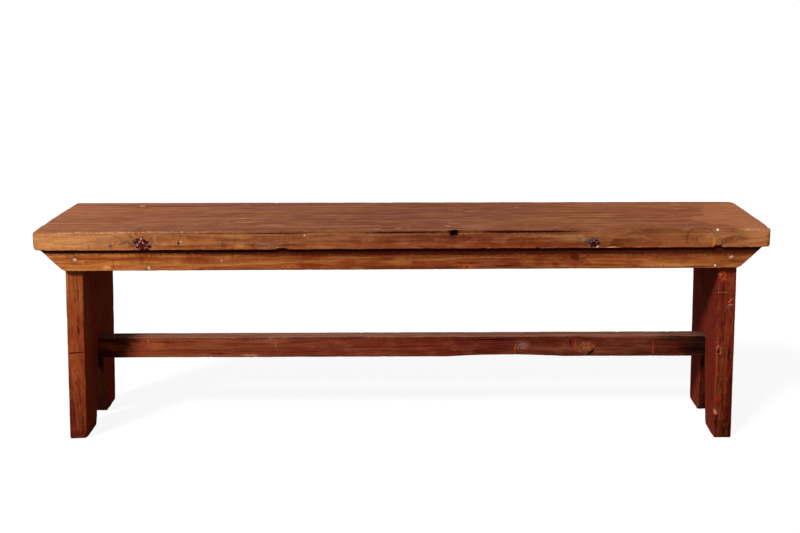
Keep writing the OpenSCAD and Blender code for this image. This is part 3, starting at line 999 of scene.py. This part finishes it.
def leg_wood(name, tones, inner, marks, usual_deep, knots, pith, seed, notch_shade):
    """A leg's wood, its grain upright. tones run from the floor up, inner tints the broad
    faces, and the last argument sets how strong the painted shade on the notch's far wall
    is. The knots' axes are z, y, x."""
    s = Wood(name, (2, 1, 0))
    s.roughen()
    broad = s.remap(s.absolute(s.facing(0)), 0.4, 0.8)
    main = s.ramp(blotched(s, s.z, 60, 110, 30, seed), tones)
    main = s.mix(s.times(broad, 0.85), main, inner)
    deep = s.dye(main, (160, 108, 96))
    pale = s.mix(0.2, main, (224, 136, 78))
    growth = rings(s, pith, (0.01, 0.015), 4.6, knots, 24)
    relief = wood(s, growth, deep, main, pale, 0.8)
    s.lay(s.times(broad, 0.55), main)
    mottle = s.grain(15, 5, seed + 9, 3.0, 0.62)
    s.tint(pale, mottle, 0.53, 0.72, 0.4)
    s.tint(deep, mottle, 0.47, 0.28, 0.55)
    s.tint(deep, s.grain(60, 1.6, seed + 5, 3.0, 0.65), 0.46, 0.3, 0.6)
    # Painted shade: the notch's far wall, facing the front behind the front foot, is darkened.
    far_wall_shade = s.remap(s.facing(1), -0.4, -0.8, 0.0, notch_shade)
    s.lay(s.times(s.remap(s.y, LEG_MIDDLE, LEG_MIDDLE + 15), far_wall_shade), (36, 14, 8))
    s.paint(marks, LEG_LOW[1], usual_deep, s.ragged)
    edge_wear(s, s.mix(0.35, main, (220, 150, 96)), 1.8, 0.5)
    end_grain(s, 2, (66, 34, 20))
    return oiled(s, relief)


LEFT_DARK = (48, 12, 6)
LEFT_LEG_MARKS = [
    mark(-676, 336, 1.0, 36, (70, 26, 12), 0.6, 0.02),
    mark(-668, 322, 1.0, 50, (70, 26, 12), 0.6, -0.02),
    mark(-685, 346, 0.9, 26, (84, 34, 18), 0.5),
    mark(-662, 270, 1.2, 50, (70, 22, 10), 0.6),
    mark(-673, 240, 3, 14, LEFT_DARK, 0.8, 0.1),
    haze(-677, 232, 4.5, 18, (104, 40, 20), 0.6),
    mark(-672, 256, 1.6, 26, LEFT_DARK, 0.55),
    mark(-688, 151, 2.6, 2.6, LEFT_DARK, 0.9),
    mark(-680, 98, 1.6, 34, LEFT_DARK, 0.7, 0.06),
    mark(-694, 60, 1.8, 44, LEFT_DARK, 0.6, 0.04),
    mark(-676, 40, 1.6, 30, LEFT_DARK, 0.6),
    mark(-683, 191.8, 32, 2.0, (60, 16, 8), 0.9, 0.07, 0.5, deep=5),
    mark(-705, 150, 1.2, 150, (90, 24, 12), 0.6),
    haze(-688, 12, 30, 12, (56, 16, 8), 0.6, deep=8),
    mark(-660, 171, 14, 24, (190, 48, 34), 0.8, y=-41, deep=7),
    # Painted light: a soft paler band along the front of the inner face, for light thrown back onto
    # it.
    mark(-660, 230, 16, 240, (176, 74, 50), 0.4, soft=0.95, y=-124, deep=34),
    haze(-690, 350, 2, 60, (214, 142, 78), 0.4),
]
RIGHT_DARK = (30, 6, 4)
RIGHT_PALE = (222, 150, 124)
RIGHT_LEG_MARKS = [
    haze(662, 143, 2.4, 15, (160, 50, 22), 0.7),
    mark(664, 82, 7, 12, (166, 36, 16), 0.75, grit=(4, 0.25)),
    mark(660, 226, 1.1, 120, (150, 58, 34), 0.5),
    mark(665, 262, 1.0, 110, RIGHT_DARK, 0.5),
    mark(656, 300, 1.0, 80, RIGHT_DARK, 0.45, 0.01),
    mark(678, 306, 1.0, 70, (150, 52, 26), 0.55),
    haze(672, 262, 5, 30, (84, 20, 12), 0.5),
    haze(672, 226, 3, 20, (156, 46, 22), 0.5),
    haze(676, 60, 4, 26, (60, 12, 8), 0.5),
    mark(664, 352, 12, 13, (216, 92, 34), 0.7, grit=(5, 0.16)),
    mark(672, 362, 18, 4, (196, 80, 34), 0.6, grit=(4, 0.2)),
    mark(667, 316.5, 24, 1.0, RIGHT_PALE, 0.6, grit=(3.6, 0.2)),
    mark(681, 300, 8, 1.0, RIGHT_PALE, 0.6, 0.7),
    mark(680, 294, 5, 1.4, (206, 60, 34), 0.7, -0.4),
    mark(682, 290, 9, 0.9, RIGHT_PALE, 0.6, 0.1),
    mark(676, 284, 6, 4, (110, 92, 84), 0.6, grit=(2.4, 0.2)),
    mark(661, 194, 8, 11, (206, 136, 100), 0.65, 0.2, grit=(3, 0.2)),
    mark(661, 192, 5.5, 7.5, (96, 26, 14), 0.9),
    mark(661, 190, 3, 4, RIGHT_DARK, 0.95),
    mark(656, 58, 10, 6.5, (206, 134, 104), 0.85, -0.4, deep=13),
    haze(662, 36, 8, 22, RIGHT_DARK, 0.75, deep=6),
    haze(665, 78, 7, 12, RIGHT_DARK, 0.45, deep=6),
    mark(652, 240, 1.2, 110, (176, 96, 66), 0.6, grit=(6, 0.3)),
    mark(674, 90, 1.4, 40, RIGHT_DARK, 0.65, deep=6),
    mark(683, 190, 1.5, 34, RIGHT_DARK, 0.7, deep=6),
    mark(679, 140, 1.3, 46, (150, 50, 26), 0.6, deep=6),
    mark(686, 230, 1.3, 60, (150, 56, 30), 0.5, deep=6),
    mark(670, 235, 1.3, 60, RIGHT_DARK, 0.4, deep=6),
    mark(652, 120, 4, 60, (190, 96, 70), 0.35, grit=(4, 0.1), y=-110),
]


def left_leg_wood():
    tones = [(0, 104, 30, 16), (100, 130, 48, 23), (240, 156, 72, 34), (420, 176, 96, 50)]
    knots = [((240, LEG_LOW[1], -673), (24, 10, 10), 8)]
    return leg_wood("left_leg_wood_worn", tones, (140, 47, 22), LEFT_LEG_MARKS, 4, knots,
                    (0, -60, -620), 43, 0.9)


def right_leg_wood():
    tones = [(0, 62, 13, 6), (70, 88, 23, 12), (240, 114, 35, 21), (420, 118, 40, 23)]
    knots = [((190, LEG_LOW[1], 661), (9, 8, 6), 6)]
    return leg_wood("right_leg_wood_worn", tones, (136, 46, 32), RIGHT_LEG_MARKS, 5, knots,
                    (0, -40, 600), 47, 0.45)


RAIL_DARK = (26, 6, 4)
RAIL_MARKS = [
    haze(-553, 184, 3, 12, (208, 150, 124), 0.3, 0.2, deep=5),
    haze(-535, 172, 34, 14, (190, 100, 50), 0.4),
    mark(-288, 187, 10, 4, (200, 160, 140), 0.4, 0.3, grit=(2, 0.15), deep=5),
    haze(-274, 174, 1.6, 14, (210, 118, 66), 0.6, 0.15, deep=5),
    mark(-330, 152, 22, 4, (206, 134, 96), 0.5, deep=5),
    mark(-400, 156, 22, 3, RAIL_DARK, 0.5, deep=5),
    haze(246, 164, 2.4, 18, (206, 84, 34), 0.6, -0.12, deep=5),
    haze(264, 172, 20, 14, (160, 112, 100), 0.4),
    mark(262, 172, 14, 13, (206, 170, 158), 0.35, grit=(2, 0.1)),
    mark(203, 186, 58, 1.8, RAIL_DARK, 0.85, soft=0.4),
    mark(366, 178, 2.0, 12, RAIL_DARK, 0.85, 0.15),
    haze(377, 172, 4, 19, (178, 64, 30), 0.6),
    mark(402, 168, 24, 17, (150, 74, 44), 0.45, soft=0.8),
    mark(402, 168, 22, 15, (206, 128, 84), 0.7, grit=(2.4, 0.12)),
    mark(411, 156, 4, 15, RAIL_DARK, 0.9, -0.75, 0.4, deep=8),
    mark(545, 168, 2.4, 17, (190, 74, 36), 0.6, grit=(4, 0.2), deep=5),
]


def stretcher_wood():
    """The stretcher's wood: orange brown at the left, dark red at the right, paler and greyer
    on top with dust and a painted sheen, and a broken dark line along its upper front arris."""
    s = Wood("stretcher_wood_worn")
    s.roughen()
    face = RAIL_LOW[1]
    # Near both legs the tones fall to near black: at the left end as painted shade from the left
    # leg, and darker still at the right end.
    side = s.ramp(blotched(s, s.x, 60, 90, 30, 53), [
        (-700, 56, 19, 12), (-630, 92, 36, 22), (-560, 146, 68, 40), (-250, 126, 57, 36),
        (20, 120, 46, 27), (220, 99, 35, 23), (420, 105, 43, 29), (560, 84, 30, 20),
        (625, 54, 18, 12), (700, 28, 9, 7)])
    # The paler grey top is partly dust and partly a painted sheen of the pale surroundings.
    dust_and_sheen = s.times(s.remap(s.x, 680, 600, 0.25, 1.0), s.remap(s.x, 320, 0, 0.66, 0.84))
    main = s.mix(s.times(s.remap(s.facing(2), 0.35, 0.75), dust_and_sheen), side, (146, 100, 82))
    deep = s.dye(main, (160, 116, 102))
    pale = s.mix(s.remap(s.absolute(s.x), 650, 480, 0.04, 0.3), main, (216, 140, 94))
    growth = rings(s, (0, 10, 120), (0.012, 0.02), 5.2, [((403, face, 164), (16, 10, 14), 16)])
    relief = wood(s, growth, deep, main, pale, 0.65, 1.3)
    s.paint(RAIL_MARKS, face, 6, s.ragged)
    edge_wear(s, s.mix(0.35, main, (216, 150, 110)), 1.6, 0.4)
    lip = s.spot(s.bench, (0, face + 2, RAIL_HIGH[2] - 2.4), (640, 5, 1.3), s.ragged, 0.5)
    s.lay(s.times(lip, s.remap(s.grain(130, 60, 67), 0.42, 0.6, 0.0, 0.85)), RAIL_DARK)
    end_grain(s, 0, (64, 34, 22))
    return oiled(s, relief)


def cleat_wood():
    """Plain sawn wood of the hidden cleats, with the saw's fine stripes."""
    s = Wood("cleat_wood_sawn", (1, 0, 2))
    growth = rings(s, (0, 690, 350), (0.02, 0.03), 3.6)
    relief = wood(s, growth, (96, 62, 38), (150, 104, 68), (190, 148, 104), 0.9)
    saw = s.math("SINE", s.math("MULTIPLY_ADD", s.y, 1.1, s.times(s.z, 0.5)))
    rough = s.remap(s.grain(40, 9, 31, 3.0), 0.3, 0.7, 0.62, 0.8)
    relief = s.math("MULTIPLY_ADD", saw, 0.12, relief)
    return s.finish(s.colour, rough, relief, 0.4, IOR=BASE_IOR)


def screw_steel():
    """Dull zinc steel with a little rust."""
    s = Shader(bpy.data.materials.new("screw_steel_dull"))
    point = s.place()
    fine = s.noise(s.vector("MULTIPLY", point, (2.5, 2.5, 2.5)), 3.0, 0.6)
    patch = s.noise(s.vector("MULTIPLY", point, (0.35, 0.35, 0.35)), 4.0, 0.65)
    rust = s.remap(patch, 0.52, 0.66, 0.0, 0.8)
    colour = s.mix(s.remap(fine, 0.3, 0.7), (150, 148, 142), (196, 194, 188))
    colour = s.mix(rust, colour, (112, 62, 34))
    rough = s.math("MULTIPLY_ADD", rust, 0.35, s.remap(fine, 0.3, 0.7, 0.34, 0.5))
    return s.finish(colour, rough, fine, 0.1, Metallic=s.minus(1.0, rust))


def dress(piece, node, material):
    """Puts a new piece in the place of its CAD node."""
    piece.data.materials.append(material)
    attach(piece, "root")
    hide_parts(node)


def repaint(node, material):
    """Gives a CAD node that stays a better material."""
    data = frame["nodes"][node].data
    data.materials.clear()
    data.materials.append(material)


# Studio

# The camera, fitted to the photograph's edges: place, focal length and angles
CAMERA_PLACE = Vector((66.71, -2706.16, 966.43)) * MM
FOCAL_PIXELS = 1277.48
PHOTO_WIDTH = 800
CAMERA_PITCH = 0.22732
CAMERA_YAW = 0.02544
CAMERA_ROLL = -0.01075
# How the light falls from the key lamp and from the lamp behind, with the strengths and
# the angles in degrees that make the shadows soft
KEY_FALL = Vector((0.42, 0.63, -0.65))
KEY_STRENGTH = 3.4
KEY_SOFTNESS = 12
BACK_FALL = Vector((0.35, -0.75, -0.7))
BACK_STRENGTH = 0.4
BACK_SOFTNESS = 30
AMBIENT = 0.2
# The floor: half its width in metres, how strongly and to what share it glows where the
# camera sees it, how pale it is there, and how pale it is to the light that it throws back
FLOOR_HALF = 120
FLOOR_GLOW = 1.06
FLOOR_GLOW_SHARE = 0.85
FLOOR_LIT = (0.9, 0.9, 0.9)
FLOOR_DIM = (0.18, 0.18, 0.18)


def camera():
    """The camera at the photograph's angle."""
    data = bpy.data.cameras.new("camera")
    data.sensor_fit = "HORIZONTAL"
    data.lens = FOCAL_PIXELS / PHOTO_WIDTH * data.sensor_width
    data.clip_end = 200
    right = Vector((math.cos(CAMERA_YAW), math.sin(CAMERA_YAW), 0))
    level = Vector((-math.sin(CAMERA_YAW), math.cos(CAMERA_YAW), 0))
    ahead = level * math.cos(CAMERA_PITCH) - Vector((0, 0, math.sin(CAMERA_PITCH)))
    up = level * math.sin(CAMERA_PITCH) + Vector((0, 0, math.cos(CAMERA_PITCH)))
    cos, sin = math.cos(CAMERA_ROLL), math.sin(CAMERA_ROLL)
    columns = (right * cos + up * sin, up * cos - right * sin, -ahead)
    made = linked("camera", data)
    made.matrix_world = Matrix.Translation(CAMERA_PLACE) @ Matrix(columns).transposed().to_4x4()
    bpy.context.scene.camera = made


def sun(name, fall, strength, softness):
    """A soft lamp far away, whose light falls in that direction."""
    data = bpy.data.lights.new(name, "SUN")
    data.energy = strength
    data.angle = math.radians(softness)
    made = linked(name, data)
    made.rotation_mode = "QUATERNION"
    made.rotation_quaternion = fall.to_track_quat("-Z", "Y")


def world():
    """White where the camera or a reflection sees it, and a soft light elsewhere."""
    made = bpy.data.worlds.new("studio")
    bpy.context.scene.world = made
    s = Shader(made)
    rays = s.add("LightPath", {}).node.outputs
    seen = s.math("MAXIMUM", rays["Is Camera Ray"], rays["Is Glossy Ray"])
    seen = s.math("MAXIMUM", seen, rays["Is Transmission Ray"])
    strength = s.add("MapRange", {"Value": seen, "To Min": AMBIENT})
    back = s.add("Background", {"Color": (1, 1, 1), "Strength": strength})
    s.add("OutputWorld", {"Surface": back})


def floor():
    """A pale floor that keeps the bench's shadow."""
    mesh = bpy.data.meshes.new("floor")
    corners = [(FLOOR_HALF * x, FLOOR_HALF * y, 0) for x, y in ((-1, -1), (1, -1), (1, 1), (-1, 1))]
    mesh.from_pydata(corners, [], [(0, 1, 2, 3)])
    s = Shader(bpy.data.materials.new("floor_pale"))
    glow = s.add("Emission", {"Color": (1, 1, 1), "Strength": FLOOR_GLOW})
    lit = s.add("BsdfDiffuse", {"Color": FLOOR_LIT})
    shown = s.add("MixShader", {0: FLOOR_GLOW_SHARE, 1: lit, 2: glow})
    dim = s.add("BsdfDiffuse", {"Color": FLOOR_DIM})
    seen = s.add("LightPath", {}, "Is Camera Ray")
    surface = s.add("MixShader", {0: seen, 1: dim, 2: shown})
    s.add("OutputMaterial", {"Surface": surface})
    mesh.materials.append(s.owner)
    linked("floor", mesh)


camera()
sun("key", KEY_FALL, KEY_STRENGTH, KEY_SOFTNESS)
sun("back", BACK_FALL, BACK_STRENGTH, BACK_SOFTNESS)
world()
floor()
bpy.context.scene.view_settings.view_transform = "Standard"

aprons = apron_wood("apron_wood_worn")
dress(seat_board(), "seat_board", seat_wood())
dress(leg("left_leg_worn", LEFT, seed=11), "left_leg", left_leg_wood())
dress(leg("right_leg_worn", RIGHT, seed=21), "right_leg", right_leg_wood())
dress(stretcher(), "stretcher", stretcher_wood())
front = apron("front_apron_worn", APRON_LOW[1], 1, seed=31)
rear = apron("rear_apron_worn", box("rear_apron")[1][1], -1, seed=51)
dress(front, "front_apron", aprons)
dress(rear, "rear_apron", aprons)
cleats = cleat_wood()
repaint("left_cleat", cleats)
repaint("right_cleat", cleats)
repaint("apron_screw_plugs", apron_wood("plug_wood_worn"))
steel = screw_steel()
for screws in ("apron_screws", "cleat_to_seat_screws", "cleat_to_leg_screws",
               "stretcher_screws"):
    repaint(screws, steel)
